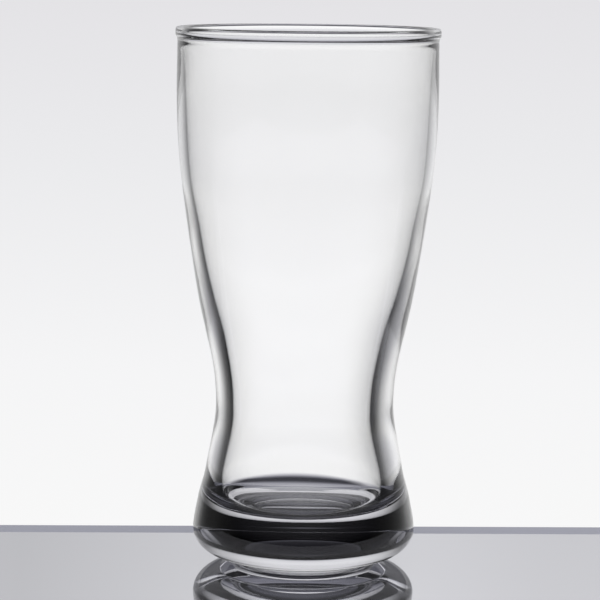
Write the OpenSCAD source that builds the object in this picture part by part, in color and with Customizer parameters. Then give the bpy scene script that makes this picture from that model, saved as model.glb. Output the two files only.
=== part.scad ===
// Pilsner glass: one body of clear glass, drawn as its base, waist, bowl and rim.
// Every zone is turned about the Z axis, and neighbours meet on level planes.

/* [Overall] */
// Height of the glass
glass_h = 155.7; // [140:0.1:171]
// Widest diameter of the rounded lip
mouth_d = 76; // [71:0.1:84]

/* [Rim] */
// Height of the rounded lip
bead_h = 3; // [2.4:0.1:3.6]
// Thickness of the rounded lip
bead_t = 2.3; // [2:0.1:3]
// How far the lip stands out from the wall below it
bead_proud = 0.55; // [0.3:0.05:0.8]
// Height of the neck that blends the wall into the lip
neck_h = 2.2; // [1.6:0.1:3]
// Thickness of the wall just below the lip
lip_wall = 1.3; // [1.1:0.1:1.6]

/* [Bowl and waist] */
// Outer diameter at the waist
waist_d = 51.8; // [47:0.1:56]
// Height of the narrowest outer section
waist_h = 47; // [43:0.1:51]
// Inner diameter at the waist
cavity_waist_d = 40.4; // [36:0.1:43]
// Height of the narrowest inner section
cavity_waist_h = 45; // [41:0.1:49]
// Height where the waist zone ends and the bowl zone starts
bowl_h = 70; // [62:0.5:80]

/* [Base] */
// Widest diameter of the base
base_d = 65; // [60:0.1:70]
// Height of the widest section of the base
bulge_h = 9.3; // [8:0.1:11]
// Height where the base zone ends and the waist zone starts
heel_h = 27; // [25:0.5:30]
// Outer diameter of the foot ring where it leaves the underside
ring_d = 43.7; // [41:0.1:46]
// Height of the foot ring
ring_h = 1.4; // [1.2:0.1:2]
// How far the outer side of the foot ring leans in on its way down
ring_lean = 1.1; // [0.4:0.1:1.5]
// Width of the flat face that the glass rests on
ring_w = 2.7; // [2:0.1:3.6]
// Radius of the rounding on both sides of the resting face
ring_round = 0.6; // [0.4:0.05:0.8]
// Depth of the hollow in its middle
punt_depth = 3.5; // [2.8:0.1:4]
// How much shallower the hollow is at its edge
punt_fall = 1; // [0.2:0.1:1.6]
// Width of the nearly flat underside around the foot ring
under_w = 3.5; // [2.5:0.1:4.5]
// Height of the outer edge of that underside
under_h = 2.6; // [2.2:0.1:3.2]

/* [Cavity floor] */
// Height of the middle of the cavity floor
floor_h = 16.6; // [15:0.1:18.5]
// How far the floor rises from its middle to its edge
floor_dish = 0.6; // [0.3:0.1:1.8]
// Diameter of the floor where its corner begins
floor_d = 44; // [41:0.1:45]
// Height of the rounded corner between floor and wall
corner_h = 4.2; // [3:0.1:5]
// Inner diameter at the top of the rounded corner
corner_d = 47.4; // [46:0.1:49]

/* [Hidden] */
$fn = 128;

// Points on each stretch of a curve
span_n = 6;
arc_n = 16;

// Fullness of the bulge: 2 is an ellipse, less is straighter
bulge_power = 1.87;

// How long the hollow stays flat before it falls to its edge
punt_power = 6;

// Squareness of the lip's section, outside and inside: 2 is an ellipse, more is squarer
bead_power_out = 3;
bead_power_in = 2.1;

// How far round the lip's section goes below its middle
bead_turn = 52;

// How far the crest of the lip stands outside the middle of its thickness
crest_shift = 0.2;

mouth_r = mouth_d / 2;
waist_r = waist_d / 2;
cavity_waist_r = cavity_waist_d / 2;
base_r = base_d / 2;
ring_r = ring_d / 2;
floor_r = floor_d / 2;
corner_r = corner_d / 2;

bead_mid_h = glass_h - bead_h / 2;
bead_mid_r = mouth_r - bead_t / 2;
lip_h = glass_h - bead_h - neck_h;
lip_r = mouth_r - bead_proud;
cavity_lip_r = lip_r - lip_wall;
floor_edge_h = floor_h + floor_dish;
corner_top_h = floor_edge_h + corner_h;

// Outer wall above the waist: share of the height from waist to lip, and
// share of the growth in radius between them
bowl_shares = [[0, 0], [0.1, 0.071], [0.2, 0.26], [0.3, 0.453], [0.4, 0.6], [0.5, 0.736],
    [0.6, 0.857], [0.7, 0.954], [0.8, 1.001], [0.9, 1.012], [1, 1]];

// Outer wall below the waist, from the waist down to the bulge
foot_shares = [[0, 0], [0.24, 0.147], [0.453, 0.375], [0.587, 0.525], [0.693, 0.7],
    [0.8, 0.835], [0.907, 0.95], [1, 1]];

// Inner wall above its waist, up to the lip
cavity_bowl_shares = [[0, 0], [0.1, 0.05], [0.2, 0.198], [0.3, 0.394], [0.4, 0.552], [0.5, 0.681],
    [0.6, 0.802], [0.7, 0.877], [0.8, 0.918], [0.9, 0.954], [1, 1]];

// Inner wall below its waist, down to the floor's rounded corner
cavity_foot_shares = [[0, 0], [0.3, 0.151], [0.6, 0.557], [0.82, 0.854], [1, 1]];

// Slopes of the inner wall at the lip and at the rounded corner, radius per height
cavity_lip_slope = 0.07;
cavity_corner_slope = -0.18;

// Points [height, radius] from a table of shares between two named sections
function stations(shares, h0, h1, r0, r1) =
    [for (s = shares) [h0 + s[0] * (h1 - h0), r0 + s[1] * (r1 - r0)]];

// Forward sweep for the slopes of a smooth curve through stations s, first slope m
function sweep(s, m, i = 1, acc = []) =
    i == len(s) - 1 ? acc :
    let (
        last = i == 1 ? [0, m] : acc[i - 2],
        a = 1 / (s[i][0] - s[i - 1][0]),
        c = 1 / (s[i + 1][0] - s[i][0]),
        rise_a = (s[i][1] - s[i - 1][1]) * a,
        rise_c = (s[i + 1][1] - s[i][1]) * c,
        pivot = 2 * (a + c) - a * last[0]
    )
    sweep(s, m, i + 1, concat(acc, [[c / pivot,
        (3 * (rise_a * a + rise_c * c) - a * last[1]) / pivot]]));

// Back substitution, from the last slope down to the first
function back(acc, out) =
    len(acc) == len(out) - 1 ? out :
    let (k = len(acc) - len(out))
    back(acc, concat([acc[k][1] - acc[k][0] * out[0]], out));

// Slopes at every station, with the first and the last given
function slopes(s, m_first, m_last) = concat([m_first], back(sweep(s, m_first), [m_last]));

// One cubic between two values with their slopes over a length h, at share t
function cubic(a, b, ma, mb, h, t) =
    a * (1 - t) * (1 - t) * (1 + 2 * t) + b * t * t * (3 - 2 * t)
    + h * t * (1 - t) * (ma * (1 - t) - mb * t);

// Points [radius, height] on the smooth curve through stations s
function curve(s, m_first, m_last) =
    let (m = slopes(s, m_first, m_last), last = len(s) - 1)
    concat(
        [for (i = [0:last - 1], j = [0:span_n - 1])
            let (h = s[i + 1][0] - s[i][0], t = j / span_n)
            [cubic(s[i][1], s[i + 1][1], m[i], m[i + 1], h, t), s[i][0] + t * h]],
        [[s[last][1], s[last][0]]]);

// Height-ordered points between two heights, cut level at both ends
function at_height(p, h, i = 0) =
    i >= len(p) - 2 || p[i + 1][1] >= h
        ? let (t = (h - p[i][1]) / (p[i + 1][1] - p[i][1])) [p[i][0] + t * (p[i + 1][0] - p[i][0]), h]
        : at_height(p, h, i + 1);
function between(p, h0, h1) = concat(
    [at_height(p, h0)],
    [for (q = p) if (q[1] > h0 && q[1] < h1) q],
    [at_height(p, h1)]);

function reversed(p) = [for (i = [len(p) - 1:-1:0]) p[i]];

// An arc of an ellipse about [r, h], from angle a0 to a1
function arc(r, h, semi_r, semi_h, a0, a1) =
    [for (i = [0:arc_n]) let (a = a0 + (a1 - a0) * i / arc_n)
        [r + semi_r * cos(a), h + semi_h * sin(a)]];

// A squarish arc about [r, h], from angle a0 to a1
function lobe(r, h, semi_r, semi_h, power, a0, a1) =
    [for (i = [0:arc_n]) let (a = a0 + (a1 - a0) * i / arc_n)
        [r + semi_r * sign(cos(a)) * pow(abs(cos(a)), 2 / power),
         h + semi_h * sign(sin(a)) * pow(abs(sin(a)), 2 / power)]];

// The direction from point p to point q
function heading(p, q) = (q - p) / norm(q - p);

// A blend between two points p and q with directions u and v
function blend(p, q, u, v) =
    [for (i = [1:span_n - 1]) let (t = i / span_n, d = norm(q - p))
        [cubic(p[0], q[0], u[0], v[0], d, t), cubic(p[1], q[1], u[1], v[1], d, t)]];

// Outer wall from the bulge to the lip, upwards
outer_foot = curve(reversed(stations(foot_shares, waist_h, bulge_h, waist_r, base_r)), 0, 0);
outer_bowl = curve(stations(bowl_shares, waist_h, lip_h, waist_r, lip_r), 0, 0);
outer_wall = concat(outer_foot, [for (i = [1:len(outer_bowl) - 1]) outer_bowl[i]]);

// Inner wall from the rounded corner to the lip, upwards
inner_foot = curve(
    reversed(stations(cavity_foot_shares, cavity_waist_h, corner_top_h, cavity_waist_r, corner_r)),
    cavity_corner_slope, 0);
inner_bowl = curve(
    stations(cavity_bowl_shares, cavity_waist_h, lip_h, cavity_waist_r, cavity_lip_r),
    0, cavity_lip_slope);
inner_wall = concat(inner_foot, [for (i = [1:len(inner_bowl) - 1]) inner_bowl[i]]);

// A zone of the wall between two level planes
module wall_zone(h0, h1) {
    rotate_extrude()
        polygon(concat(between(outer_wall, h0, h1), reversed(between(inner_wall, h0, h1))));
}

module base() {
    rest_r = ring_r - ring_lean - ring_round;
    hollow_r = rest_r - ring_w - ring_round;
    under_r = ring_r + under_w;
    // Hollow, nearly flat, from its middle out to its steep side
    hollow = [for (i = [0:arc_n]) let (t = i / arc_n)
        [hollow_r * t, punt_depth - punt_fall * pow(t, punt_power)]];
    // Foot ring, from the side of the hollow round to its leaning outer side
    ring = concat(
        arc(rest_r - ring_w, ring_round, ring_round, ring_round, 180, 270),
        arc(rest_r, ring_round, ring_round, ring_round, 270, 360),
        [[ring_r, ring_h]]);
    // Bulge, from the underside out to the widest section
    bulge = [for (i = [0:2 * arc_n]) let (a = 90 * i / (2 * arc_n))
        [under_r + (base_r - under_r) * pow(sin(a), 2 / bulge_power),
         under_h + (bulge_h - under_h) * (1 - pow(cos(a), 2 / bulge_power))]];
    side = between(outer_wall, bulge_h, heel_h);
    cup = reversed(between(inner_wall, corner_top_h, heel_h));
    // Rounded corner and dished floor, inwards to the axis
    corner = blend([corner_r, corner_top_h], [floor_r, floor_edge_h],
        [-cavity_corner_slope, -1], [-1, -2 * floor_dish / floor_r]);
    dish = [for (i = [0:arc_n]) let (t = 1 - i / arc_n)
        [floor_r * t, floor_h + floor_dish * t * t]];
    color("gainsboro")
        rotate_extrude()
            polygon(concat(
                hollow,
                ring,
                bulge,
                [for (i = [1:len(side) - 1]) side[i]],
                cup,
                corner,
                dish));
}

module waist() {
    color("lightsteelblue") wall_zone(heel_h, bowl_h);
}

module bowl() {
    color("aliceblue") wall_zone(bowl_h, lip_h);
}

module rim() {
    crest_r = bead_mid_r + crest_shift;
    outside = lobe(crest_r, bead_mid_h, mouth_r - crest_r, bead_h / 2,
        bead_power_out, -bead_turn, 90);
    inside = lobe(crest_r, bead_mid_h, crest_r - (mouth_r - bead_t), bead_h / 2,
        bead_power_in, 90, 180 + bead_turn);
    section = concat(outside, [for (i = [1:arc_n]) inside[i]]);
    last = len(section) - 1;
    color("white")
        rotate_extrude()
            polygon(concat(
                [[lip_r, lip_h]],
                blend([lip_r, lip_h], section[0], [0, 1], heading(section[0], section[1])),
                section,
                blend(section[last], [cavity_lip_r, lip_h],
                    heading(section[last - 1], section[last]), [-cavity_lip_slope, -1]),
                [[cavity_lip_r, lip_h]]));
}

base();
waist();
bowl();
rim();
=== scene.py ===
# A clear pilsner glass that stands on a pale glossy table, in front of a pale wall.
import math

import bmesh
import bpy
from mathutils import Matrix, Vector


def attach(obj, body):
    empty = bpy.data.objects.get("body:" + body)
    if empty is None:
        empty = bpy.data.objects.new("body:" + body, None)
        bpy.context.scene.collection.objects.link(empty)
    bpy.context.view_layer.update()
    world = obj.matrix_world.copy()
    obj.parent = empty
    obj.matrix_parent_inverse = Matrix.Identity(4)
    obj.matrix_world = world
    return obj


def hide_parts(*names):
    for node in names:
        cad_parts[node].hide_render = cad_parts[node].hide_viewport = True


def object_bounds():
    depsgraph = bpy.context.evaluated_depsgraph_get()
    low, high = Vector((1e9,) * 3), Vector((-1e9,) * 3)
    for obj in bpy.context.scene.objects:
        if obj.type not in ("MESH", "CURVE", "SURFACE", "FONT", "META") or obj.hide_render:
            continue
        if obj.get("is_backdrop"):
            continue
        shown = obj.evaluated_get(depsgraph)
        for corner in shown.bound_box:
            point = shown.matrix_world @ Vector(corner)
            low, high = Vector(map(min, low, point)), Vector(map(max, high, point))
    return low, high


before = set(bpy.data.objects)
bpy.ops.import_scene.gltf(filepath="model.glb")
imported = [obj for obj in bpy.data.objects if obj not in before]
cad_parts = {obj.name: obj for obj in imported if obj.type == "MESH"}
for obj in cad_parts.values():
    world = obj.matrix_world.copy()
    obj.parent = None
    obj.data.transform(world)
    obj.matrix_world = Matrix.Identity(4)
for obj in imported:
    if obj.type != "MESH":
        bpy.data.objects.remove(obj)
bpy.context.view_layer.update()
scene = bpy.context.scene
scene.view_settings.view_transform = "Standard"

# The camera stands in front of the glass, a little above its lip, and looks slightly down.
# It is turned a touch about its own axis, because the glass leans in the frame.
MM = 0.001
FRAME_PX = 600
FOCAL_PX = 2339
SENSOR_MM = 36.0
CAMERA_BACK = 672.5 * MM
CAMERA_HEIGHT = 175.05 * MM
CAMERA_DOWN = math.radians(8.30)
CAMERA_ROLL = math.radians(0.60)
GLASS_AXIS_PX = 305.75
NEAREST = 10 * MM

camera_data = bpy.data.cameras.new("camera")
camera_data.sensor_width = SENSOR_MM
camera_data.lens = FOCAL_PX / FRAME_PX * SENSOR_MM
camera_data.clip_start = NEAREST
camera_data.shift_x = (FRAME_PX / 2 - GLASS_AXIS_PX) / FRAME_PX
camera = bpy.data.objects.new("camera", camera_data)
camera.matrix_world = (
    Matrix.Translation((0, -CAMERA_BACK, CAMERA_HEIGHT))
    @ Matrix.Rotation(math.pi / 2 - CAMERA_DOWN, 4, "X")
    @ Matrix.Rotation(CAMERA_ROLL, 4, "Z")
)
scene.collection.objects.link(camera)
scene.camera = camera


# The room is a broad pale wall, brightest at the height of the table and dimmer above and far
# below. Light that comes straight through the glass, that has bounced inside it, or that comes off
# a surface last meets a part of the room of its own, which is dimmer to the sides.
def add(tree, kind, settings=None, values=None, links=None):
    node = tree.nodes.new(kind)
    for name, value in (settings or {}).items():
        setattr(node, name, value)
    for name, value in (values or {}).items():
        node.inputs[name].default_value = value
    for name, socket in (links or {}).items():
        tree.links.new(socket, node.inputs[name])
    return node


def linear(hex_colour):
    channels = [int(hex_colour[i : i + 2], 16) / 255 for i in (1, 3, 5)]
    return [c / 12.92 if c <= 0.04045 else ((c + 0.055) / 1.055) ** 2.4 for c in channels] + [1]


room = bpy.data.worlds.new("room")
room.use_nodes = True
scene.world = room
air = room.node_tree
air.nodes.clear()
DEGREES = 180 / math.pi
facing = add(air, "ShaderNodeTexCoord")
part = add(air, "ShaderNodeSeparateXYZ", links={"Vector": facing.outputs["Generated"]})
ray = add(air, "ShaderNodeLightPath").outputs
rise = add(air, "ShaderNodeMath", {"operation": "ARCSINE"}, links={0: part.outputs["Z"]})
height = add(air, "ShaderNodeMath", {"operation": "MULTIPLY"}, {1: DEGREES}, {0: rise.outputs[0]})
swing = add(
    air, "ShaderNodeMath", {"operation": "ARCTAN2"}, links={0: part.outputs["X"], 1: part.outputs["Y"]}
)
turn = add(air, "ShaderNodeMath", {"operation": "MULTIPLY"}, {1: DEGREES}, {0: swing.outputs[0]})

# How bright each part of the room is, at angles in degrees: by height above the level, or by turn
# to the right of straight behind the glass. The backdrop is the room seen directly. The others are
# the room through the glass, after bounces inside it, and off a surface last, where "front" is the
# side on which the camera stands. The table mirrors the room more evenly than the glass does.
MIDWAY = 0.5
lights = {}
for name, angle, stops in (
    ("backdrop", height, [
        (-60, "#dcdce0"), (-30, "#e8e8ea"), (-20, "#f8f8f8"), (-14, "#f8f8f8"), (-10, "#f5f5f6"),
        (-5, "#ebebed"), (-1, "#e4e3e6"), (8, "#dedde2")]),
    ("through_height", height, [
        (-70, "#f4f4f5"), (-56, "#cacad0"), (-48, "#adadb5"), (-40, "#9e9ea7"), (-36, "#6d6d76"),
        (-32, "#2f2f35"), (-26, "#2f2f35"), (-24, "#6d6d76"), (-21, "#c7c7cd"), (-18.5, "#fdfdfd"),
        (-12, "#fefeff"), (-9, "#f7f7f8"), (-6, "#f4f4f5"), (-3, "#f6f6f7"), (0, "#e8e8eb"),
        (4, "#dddde1"), (14, "#d7d7db"), (17, "#ceced4"), (20, "#c7c7cd"), (24, "#bcbcc3"),
        (45, "#b1b1b8")]),
    ("through_sides", height, [
        (-70, "#f4f4f5"), (-48, "#cacad0"), (-28, "#cacad0"), (-24, "#dcdce0"), (-21, "#eeeef0"),
        (-18.5, "#f7f7f8"), (-12, "#fcfcfc"), (-9, "#fafafa"), (-6, "#f4f4f5"), (-3, "#f2f2f4"),
        (0, "#e6e6e9"), (4, "#dcdce0"), (14, "#d9d9de"), (20, "#d0d0d5"), (24, "#c7c7cd"),
        (45, "#b7b7bf")]),
    ("through_turn", turn, [
        (-90, "#ffffff"), (-75, "#dadada"), (-60, "#656565"), (-52, "#616161"), (-46, "#909090"),
        (-40, "#bcbcbc"), (-35, "#d8d8d8"), (-30, "#e8e8e8"), (-25, "#f3f3f3"), (-20, "#fcfcfc"),
        (-15, "#ffffff"), (10, "#ffffff"), (15, "#f9f9f9"), (20, "#f1f1f1"), (25, "#e6e6e6"),
        (30, "#d8d8d8"), (35, "#cdcdcd"), (40, "#bababa"), (46, "#8e8e8e"), (52, "#616161"),
        (60, "#616161"), (75, "#dadada"), (90, "#ffffff")]),
    ("inside_height", height, [
        (-45, "#f9f9fa"), (-35, "#e7e7ea"), (-28, "#d6d6db"), (-24, "#d7d7dc"), (-21, "#e3e3e7"),
        (-18, "#f6f6f7"), (-15, "#ffffff"), (-12, "#fefefe"), (-9, "#f3f3f5"), (-6, "#e7e7ea"),
        (-3, "#e2e2e6"), (0, "#e5e5e8"), (4, "#e3e3e7"), (8, "#dedee2"), (11, "#d1d1d7"),
        (14, "#b1b1b9"), (17, "#76767f"), (20, "#19191d"), (30, "#27272b"), (45, "#55555d"),
        (60, "#45454c")]),
    ("inside_low_turn", turn, [
        (-75, "#191919"), (-52, "#272727"), (-46, "#3f3f3f"), (-40, "#505050"), (-35, "#7c7c7c"),
        (-30, "#a6a6a6"), (-25, "#c7c7c7"), (-20, "#e5e5e5"), (-15, "#f9f9f9"), (-10, "#ffffff"),
        (0, "#ffffff"), (5, "#f7f7f7"), (10, "#efefef"), (20, "#d6d6d6"), (25, "#c7c7c7"),
        (30, "#b6b6b6"), (35, "#a2a2a2"), (40, "#7e7e7e"), (46, "#555555"), (52, "#191919")]),
    ("inside_high_turn", turn, [
        (-75, "#272727"), (-60, "#454545"), (-52, "#454545"), (-46, "#555555"), (-40, "#868686"),
        (-35, "#aaaaaa"), (-30, "#c4c4c4"), (-25, "#d1d1d1"), (-20, "#dadada"), (-10, "#efefef"),
        (-5, "#f8f8f8"), (0, "#ffffff"), (10, "#ffffff"), (15, "#fcfcfc"), (20, "#ececec"),
        (25, "#dddddd"), (30, "#cbcbcb"), (40, "#a8a8a8"), (46, "#848484"), (52, "#595959"),
        (60, "#454545"), (75, "#272727")]),
    ("inside_front", height, [
        (-4, "#27272a"), (0, "#616167"), (4, "#909096"), (8, "#9b9ba1"), (11, "#97979d"),
        (14, "#7c7c82"), (17, "#303034"), (40, "#101014"), (60, "#1e1e24")]),
    ("table_height", height, [
        (-24, "#505053"), (-21, "#959599"), (-18, "#c8c8cb"), (-15, "#f1f1f2"), (-12, "#ffffff"),
        (-6, "#fafafb"), (-3, "#e7e7e8"), (0, "#dadadc"), (4, "#ceced1"), (8, "#ceced1"),
        (11, "#d7d7d9"), (14, "#ebebec"), (17, "#f1f1f2"), (60, "#f1f1f2")]),
    ("table_turn", turn, [
        (-75, "#909090"), (-60, "#868686"), (-52, "#959595"), (-46, "#adadad"), (-40, "#d4d4d4"),
        (-35, "#f6f6f6"), (-25, "#ffffff"), (-12, "#eaeaea"), (-7, "#e6e6e6"), (-3, "#f6f6f6"),
        (0, "#ffffff"), (3, "#ffffff"), (6, "#f7f7f7"), (12, "#f6f6f6"), (25, "#ffffff"),
        (40, "#fcfcfc"), (46, "#e7e7e7"), (52, "#d0d0d0"), (60, "#b3b3b3"), (75, "#909090")]),
    ("table_even_turn", turn, [
        (-75, "#f0f0f0"), (-25, "#ffffff"), (-12, "#eaeaea"), (-7, "#e6e6e6"), (-3, "#f6f6f6"),
        (0, "#ffffff"), (3, "#ffffff"), (6, "#f7f7f7"), (12, "#f6f6f6"), (25, "#ffffff"),
        (75, "#f0f0f0")]),
    ("front_of_table", height, [
        (-14, "#a8a8ae"), (-4, "#b4b4ba"), (0, "#cacace"), (4, "#d4d4d8"), (14, "#e6e6e9"),
        (24, "#ececee"), (60, "#e7e7e9")]),
    ("front_of_glass", height, [
        (-14, "#95959b"), (-9, "#76767c"), (-4, "#303034"), (0, "#303034"), (4, "#5c5c64"),
        (8, "#8c8c94"), (11, "#c8c8cd"), (14, "#f0f0f2"), (24, "#f3f3f4"), (60, "#e7e7e9")]),
):
    low = stops[0][0]
    high = stops[-1][0]
    share = add(
        air, "ShaderNodeMapRange", values={"From Min": low, "From Max": high},
        links={"Value": angle.outputs[0]},
    )
    ramp = add(air, "ShaderNodeValToRGB", links={"Fac": share.outputs[0]})
    points = ramp.color_ramp.elements
    for _ in stops[2:]:
        points.new(MIDWAY)
    for point, (degrees, colour) in zip(points, stops):
        point.position = (degrees - low) / (high - low)
        point.color = linear(colour)
    lights[name] = ramp.outputs["Color"]

# What has become of a ray on its way, as a share from 0 to 1: which part of the room it looks at,
# whether it has entered the glass, whether it has bounced once or more, and whether its one bounce
# came last. A bounce off the glass is perfectly sharp, and one off the table is not quite.
aside = add(air, "ShaderNodeMath", {"operation": "ABSOLUTE"}, links={0: turn.outputs[0]})
bounces = ray["Glossy Depth"]
fates = {}
for name, angle, low, high in (
    ("sideways", aside.outputs[0], 6.0, 14.0),
    ("ahead", aside.outputs[0], 75.0, 110.0),
    ("raised", height.outputs[0], -16.0, -5.0),
    ("bounced", bounces, 0.0, 1.0),
    ("bounced_again", bounces, 1.0, 2.0),
    ("entered", ray["Transmission Depth"], 0.0, 1.0),
):
    share = add(
        air, "ShaderNodeMapRange", values={"From Min": low, "From Max": high}, links={"Value": angle}
    )
    fates[name] = share.outputs[0]
returned = add(
    air, "ShaderNodeMath", {"operation": "SUBTRACT", "use_clamp": True},
    links={0: ray["Is Reflection Ray"], 1: fates["bounced_again"]},
)
direct = add(
    air, "ShaderNodeMath", {"operation": "MAXIMUM"},
    links={0: ray["Is Camera Ray"], 1: ray["Is Diffuse Ray"]},
)
fates["returned"] = returned.outputs[0]
fates["direct"] = direct.outputs[0]
fates["sharp"] = ray["Is Singular Ray"]

# The parts of the room are mixed in pairs. What is seen through plain glass is a little brighter
# than written above, which makes good the light that its surfaces turn back. A Mix node takes its
# two colours at inputs 6 and 7, and gives the mixed one at output 2.
CLEAR_GAIN = 1.05
FIRST_COLOUR = 6
SECOND_COLOUR = 7
MIXED_COLOUR = 2
gain = add(air, "ShaderNodeCombineXYZ", values={"X": CLEAR_GAIN, "Y": CLEAR_GAIN, "Z": CLEAR_GAIN})
lights["gain"] = gain.outputs[0]
for name, blend_type, fate, first, second in (
    ("through_back", "MIX", "sideways", "through_height", "through_sides"),
    ("through_plain", "MULTIPLY", None, "through_back", "through_turn"),
    ("through", "MULTIPLY", None, "through_plain", "gain"),
    ("inside_turn", "MIX", "raised", "inside_low_turn", "inside_high_turn"),
    ("inside_back", "MULTIPLY", None, "inside_height", "inside_turn"),
    ("inside", "MIX", "ahead", "inside_back", "inside_front"),
    ("back_turn", "MIX", "sharp", "table_even_turn", "table_turn"),
    ("table_back", "MULTIPLY", None, "table_height", "back_turn"),
    ("front", "MIX", "sharp", "front_of_table", "front_of_glass"),
    ("mirrored", "MIX", "ahead", "table_back", "front"),
    ("last_bounced", "MIX", "returned", "inside", "mirrored"),
    ("glassy", "MIX", "bounced", "through", "last_bounced"),
    ("indirect", "MIX", "entered", "mirrored", "glassy"),
    ("shown", "MIX", "direct", "indirect", "backdrop"),
):
    mix = add(
        air, "ShaderNodeMix", {"data_type": "RGBA", "blend_type": blend_type}, {"Factor": 1.0},
        {FIRST_COLOUR: lights[first], SECOND_COLOUR: lights[second]},
    )
    if fate:
        air.links.new(fates[fate], mix.inputs["Factor"])
    lights[name] = mix.outputs[MIXED_COLOUR]
light = add(air, "ShaderNodeBackground", links={"Color": lights["shown"]})
add(air, "ShaderNodeOutputWorld", links={"Surface": light.outputs["Background"]})

# The table is a slab of pale cast acrylic with a polished, mirror-like top. A strip along its far
# edge, just behind the glass, is rougher and given a darker cool grey. It lies a hair below the foot
# ring.
TABLE_BACK = 39 * MM
TABLE_FRONT = 900 * MM
TABLE_SIDE = 900 * MM
TABLE_THICK = 12 * MM
TABLE_YAW = math.radians(1.54)
STRIP = 9 * MM
TABLE_DROP = 0.02 * MM
bm = bmesh.new()
bmesh.ops.create_cube(bm, size=1.0)
bmesh.ops.scale(bm, vec=(2 * TABLE_SIDE, TABLE_FRONT + TABLE_BACK, TABLE_THICK), verts=bm.verts)
bmesh.ops.translate(
    bm, vec=(0, (TABLE_BACK - TABLE_FRONT) / 2, -TABLE_THICK / 2 - TABLE_DROP), verts=bm.verts
)
bmesh.ops.bisect_plane(
    bm, geom=bm.verts[:] + bm.edges[:] + bm.faces[:],
    plane_co=(0, TABLE_BACK - STRIP, 0), plane_no=(0, 1, 0),
)
for face in bm.faces:
    face.material_index = int(face.calc_center_median().y > TABLE_BACK - STRIP)
bmesh.ops.rotate(bm, cent=(0, 0, 0), matrix=Matrix.Rotation(TABLE_YAW, 3, "Z"), verts=bm.verts)
mesh = bpy.data.meshes.new("table")
bm.to_mesh(mesh)
bm.free()
table = bpy.data.objects.new("table", mesh)
scene.collection.objects.link(table)
table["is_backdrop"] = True

# Cast acrylic: where it is polished it mirrors the glass and the wall, a shade darker than they
# are, and in the far strip it is mostly matt and given a darker cool grey.
MIRROR_TINT = "#e2e2e6"
for name, colour, shine, rough in (
    ("polished_acrylic", "#dcdde0", 0.94, 0.02),
    # The far strip is rougher than the rest of the top and given a darker, cool grey tone
    ("far_strip_acrylic", "#a9abb8", 0.25, 0.25),
):
    acrylic = bpy.data.materials.new(name)
    acrylic.use_nodes = True
    tree = acrylic.node_tree
    tree.nodes.clear()
    matt = add(tree, "ShaderNodeBsdfDiffuse", values={"Color": linear(colour)})
    mirror = add(tree, "ShaderNodeBsdfGlossy", values={"Color": linear(MIRROR_TINT), "Roughness": rough})
    mixed = add(
        tree, "ShaderNodeMixShader", values={0: shine}, links={1: matt.outputs[0], 2: mirror.outputs[0]}
    )
    add(tree, "ShaderNodeOutputMaterial", links={"Surface": mixed.outputs[0]})
    mesh.materials.append(acrylic)


# The glass is one body of clear soda-lime glass: base, waist, bowl and lip are formed hot as one,
# so they are one turned solid here. The outside and the cavity are each a line spun about the
# upright axis, and they meet at the crest of the lip.

# How far a wall leans out at each of its stations, for the smoothest line through them all
def wall_leans(stations, first, last):
    sweep = [(0.0, first)]
    for before, here, after in zip(stations, stations[1:], stations[2:]):
        below = 1 / (here[0] - before[0])
        above = 1 / (after[0] - here[0])
        pivot = 2 * (below + above) - below * sweep[-1][0]
        rate = 3 * ((here[1] - before[1]) * below**2 + (after[1] - here[1]) * above**2)
        sweep.append((above / pivot, (rate - below * sweep[-1][1]) / pivot))
    leans = [last]
    for share, rest in reversed(sweep[1:]):
        leans.insert(0, rest - share * leans[0])
    return [first] + leans


# A bend runs smoothly from a start to an end that lie a span apart, with a given lean at each,
# and t is the share of the way along it
def bend(start, end, start_lean, end_lean, span, t):
    left = 1 - t
    place = start * left**2 * (1 + 2 * t) + end * t**2 * (1 + 2 * left)
    return place + span * t * left * (start_lean * left - end_lean * t)


# A wall is drawn through stations, which are given as shares of its height and of its width
WALL_STEP = 0.8 * MM


def wall_line(shares, low, high, first_lean, last_lean):
    stations = sorted(
        (low[1] + up * (high[1] - low[1]), low[0] + out * (high[0] - low[0])) for up, out in shares
    )
    leans = wall_leans(stations, first_lean, last_lean)
    line = []
    for i, ((h0, r0), (h1, r1)) in enumerate(zip(stations, stations[1:])):
        count = max(2, round((h1 - h0) / WALL_STEP))
        for j in range(count):
            t = j / count
            line.append((bend(r0, r1, leans[i], leans[i + 1], h1 - h0, t), h0 + (h1 - h0) * t))
    line.append((stations[-1][1], stations[-1][0]))
    return line


# A rounded edge is drawn about a centre, from one direction to another. A power of 2 makes it
# round, a higher power squarer and a lower one slacker.
def rounded_edge(centre, across, up, power, start, end, count):
    line = []
    for i in range(count + 1):
        angle = math.radians(start + (end - start) * i / count)
        c = math.cos(angle)
        s = math.sin(angle)
        r = centre[0] + across * math.copysign(abs(c) ** (2 / power), c)
        line.append((r, centre[1] + up * math.copysign(abs(s) ** (2 / power), s)))
    return line


# A soft corner fills the space between two lines, leaving one and arriving at the other
def soft_corner(start, end, leaving, arriving, count):
    span = math.dist(start, end)
    return [
        tuple(bend(start[k], end[k], leaving[k], arriving[k], span, i / count) for k in (0, 1))
        for i in range(1, count)
    ]


def heading(start, end):
    span = math.dist(start, end)
    return ((end[0] - start[0]) / span, (end[1] - start[1]) / span)


# The lip is a bead, melted round, that stands a little proud of the wall below it
GLASS_HEIGHT = 155.7 * MM
MOUTH_RADIUS = 38 * MM
BEAD_HEIGHT = 3 * MM
BEAD_WIDTH = 2.3 * MM
BEAD_PROUD = 0.55 * MM
BEAD_TURN = 52
BEAD_OUTER_POWER = 3
BEAD_INNER_POWER = 2.1
CREST_SHIFT = 0.2 * MM
NECK_HEIGHT = 2.2 * MM
LIP_WALL = 1.3 * MM
LIP_FLARE = 0.07

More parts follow.
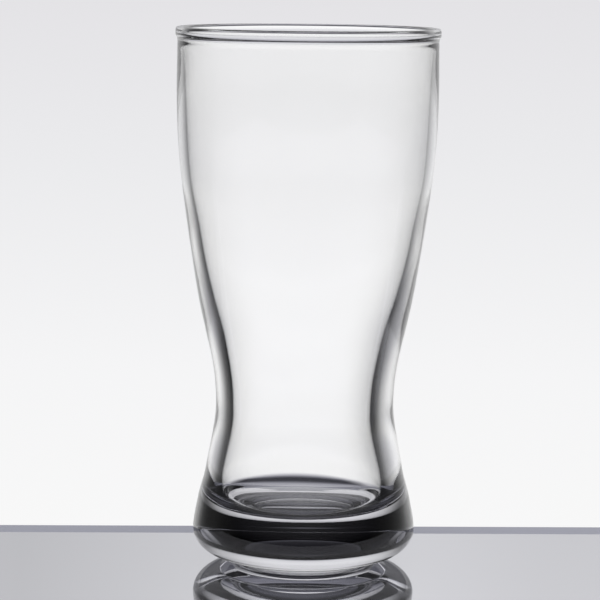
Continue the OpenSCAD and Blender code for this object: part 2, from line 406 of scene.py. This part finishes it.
# Radius and height of the waist, outside and in the cavity, and of the bulge of the base
WAIST = (25.9 * MM, 47 * MM)
CAVITY_WAIST = (20.2 * MM, 45 * MM)
BULGE = (32.48 * MM, 9.46 * MM)
BULGE_POWER = 1.90

# The foot is a ring that the glass stands on, with a slope out to the bulge and a hollow inside
RING_RADIUS = 21.90 * MM
RING_HEIGHT = 1.16 * MM
RING_LEAN = 1.25 * MM
RING_WIDTH = 2.79 * MM
RING_ROUND = 0.6 * MM
UNDER_WIDTH = 2.91 * MM
UNDER_HEIGHT = 2.64 * MM
HOLLOW_DEPTH = 3.60 * MM
HOLLOW_FALL = 0.73 * MM
HOLLOW_POWER = 7.8

# The floor of the cavity is dished, and a soft corner joins it to the wall
FLOOR_RADIUS = 21.29 * MM
FLOOR_HEIGHT = 16.25 * MM
FLOOR_DISH = 0.47 * MM
FLOOR_REACH = 0.48
CORNER_RADIUS = 23.68 * MM
CORNER_HEIGHT = 4.80 * MM
CORNER_LEAN = 0.087
CORNER_REACH = 1.49

# Where the walls pass, as shares of the height and of the width between two of those places
foot_shares = [
    (0, 0), (0.24, 0.147), (0.453, 0.375), (0.587, 0.525), (0.693, 0.7), (0.8, 0.835),
    (0.907, 0.95), (1, 1),
]
bowl_shares = [
    (0, 0), (0.1, 0.071), (0.2, 0.26), (0.3, 0.453), (0.4, 0.6), (0.5, 0.736), (0.6, 0.857),
    (0.7, 0.954), (0.8, 1.001), (0.9, 1.012), (1, 1),
]
cavity_foot_shares = [(0, 0), (0.3, 0.151), (0.6, 0.557), (0.82, 0.854), (1, 1)]
cavity_bowl_shares = [
    (0, 0), (0.1, 0.05), (0.2, 0.198), (0.3, 0.394), (0.4, 0.552), (0.5, 0.681), (0.6, 0.802),
    (0.7, 0.877), (0.8, 0.918), (0.9, 0.954), (1, 1),
]

# Directions are in degrees, UPRIGHT is a lean and ROUND is a power. The steps say how finely
# each stretch is drawn.
OUTWARD = 0
UPWARD = 90
INWARD = 180
DOWNWARD = 270
FULL_TURN = 360
UPRIGHT = 0
ROUND = 2
FLOOR_STEPS = 24
RING_STEPS = 6
UNDER_STEPS = 8
BULGE_STEPS = 40
BEAD_STEPS = 24
NECK_STEPS = 8
CORNER_STEPS = 16

# The outside, from the middle of the hollow, over the ring and the bulge, up to the crest
rest_radius = RING_RADIUS - RING_LEAN - RING_ROUND
hollow_radius = rest_radius - RING_WIDTH - RING_ROUND
under_radius = RING_RADIUS + UNDER_WIDTH
lip = (MOUTH_RADIUS - BEAD_PROUD, GLASS_HEIGHT - BEAD_HEIGHT - NECK_HEIGHT)
crest = (MOUTH_RADIUS - BEAD_WIDTH / 2 + CREST_SHIFT, GLASS_HEIGHT - BEAD_HEIGHT / 2)
outside = []
for i in range(FLOOR_STEPS + 1):
    share = i / FLOOR_STEPS
    outside.append((hollow_radius * share, HOLLOW_DEPTH - HOLLOW_FALL * share**HOLLOW_POWER))
for radius, start, end in (
    (rest_radius - RING_WIDTH, INWARD, DOWNWARD),
    (rest_radius, DOWNWARD, FULL_TURN),
):
    outside += rounded_edge((radius, RING_ROUND), RING_ROUND, RING_ROUND, ROUND, start, end, RING_STEPS)
for i in range(UNDER_STEPS):
    share = i / UNDER_STEPS
    climb = (UNDER_HEIGHT - RING_HEIGHT) * share
    outside.append((RING_RADIUS + UNDER_WIDTH * share, RING_HEIGHT + climb))
outside += rounded_edge(
    (under_radius, BULGE[1]), BULGE[0] - under_radius, BULGE[1] - UNDER_HEIGHT, BULGE_POWER,
    DOWNWARD, FULL_TURN, BULGE_STEPS,
)
outside += wall_line(foot_shares, WAIST, BULGE, UPRIGHT, UPRIGHT)[1:-1]
outside += wall_line(bowl_shares, WAIST, lip, UPRIGHT, UPRIGHT)
shoulder = rounded_edge(
    crest, MOUTH_RADIUS - crest[0], BEAD_HEIGHT / 2, BEAD_OUTER_POWER,
    OUTWARD - BEAD_TURN, UPWARD, BEAD_STEPS,
)
outside += soft_corner(lip, shoulder[0], (UPRIGHT, 1), heading(shoulder[0], shoulder[1]), NECK_STEPS)
outside += shoulder

# The cavity, from the crest down the wall and over the corner to the middle of the floor
cavity_lip = (lip[0] - LIP_WALL, lip[1])
corner_top = (CORNER_RADIUS, FLOOR_HEIGHT + FLOOR_DISH + CORNER_HEIGHT)
cavity = rounded_edge(
    crest, crest[0] - MOUTH_RADIUS + BEAD_WIDTH, BEAD_HEIGHT / 2, BEAD_INNER_POWER,
    UPWARD, INWARD + BEAD_TURN, BEAD_STEPS,
)
cavity += soft_corner(
    cavity[-1], cavity_lip, heading(cavity[-2], cavity[-1]), (-LIP_FLARE, -1), NECK_STEPS
)
cavity += wall_line(cavity_bowl_shares, CAVITY_WAIST, cavity_lip, UPRIGHT, LIP_FLARE)[::-1]
cavity += wall_line(cavity_foot_shares, CAVITY_WAIST, corner_top, -CORNER_LEAN, UPRIGHT)[-2::-1]
cavity += soft_corner(
    corner_top, (FLOOR_RADIUS, FLOOR_HEIGHT + FLOOR_DISH), (CORNER_LEAN * CORNER_REACH, -CORNER_REACH),
    (-FLOOR_REACH, -2 * FLOOR_DISH / FLOOR_RADIUS * FLOOR_REACH), CORNER_STEPS,
)
for i in range(FLOOR_STEPS + 1):
    share = 1 - i / FLOOR_STEPS
    cavity.append((FLOOR_RADIUS * share, FLOOR_HEIGHT + FLOOR_DISH * share**2))

# Both lines are spun. Near the waist the cavity sits a little to the left of the glass's axis.
SIDES = 184
SHIFT = -0.6 * MM
SHIFT_HEIGHT = 38 * MM
SHIFT_SPREAD = 36 * MM
WELD = 0.001 * MM
bm = bmesh.new()
for line in (cavity, outside):
    chain = [bm.verts.new((r, 0, h)) for r, h in line]
    edges = [bm.edges.new(pair) for pair in zip(chain, chain[1:])]
    bmesh.ops.spin(
        bm, geom=chain + edges, axis=(0, 0, 1), angle=2 * math.pi, steps=SIDES, use_merge=True
    )
    if line is cavity:
        for vert in bm.verts:
            vert.co.x += SHIFT * math.exp(-(((vert.co.z - SHIFT_HEIGHT) / SHIFT_SPREAD) ** 2))
bmesh.ops.remove_doubles(bm, verts=bm.verts, dist=WELD)
bmesh.ops.recalc_face_normals(bm, faces=bm.faces)
for face in bm.faces:
    face.smooth = True
mesh = bpy.data.meshes.new("glass")
bm.to_mesh(mesh)
bm.free()
glass = bpy.data.objects.new("glass", mesh)
scene.collection.objects.link(glass)
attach(glass, "root")
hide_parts("base", "waist", "bowl", "rim")

# Soda-lime glass, formed hot and polished by the flame: it is clear and smooth, and bends light
# strongly. Its body takes out a trace of the warm light, so that thick parts look faintly cool.
BODY_TINT = "#eeeef2"
BODY_DENSITY = 2.0
soda = bpy.data.materials.new("soda_lime_glass")
soda.use_nodes = True
tree = soda.node_tree
tree.nodes.clear()
body = add(
    tree, "ShaderNodeBsdfPrincipled",
    values={"Base Color": (1, 1, 1, 1), "Roughness": 0.0, "IOR": 1.52, "Transmission Weight": 1.0},
)
absorb = add(
    tree, "ShaderNodeVolumeAbsorption", values={"Color": linear(BODY_TINT), "Density": BODY_DENSITY}
)
add(tree, "ShaderNodeOutputMaterial", links={"Surface": body.outputs[0], "Volume": absorb.outputs[0]})
mesh.materials.append(soda)

low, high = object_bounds()
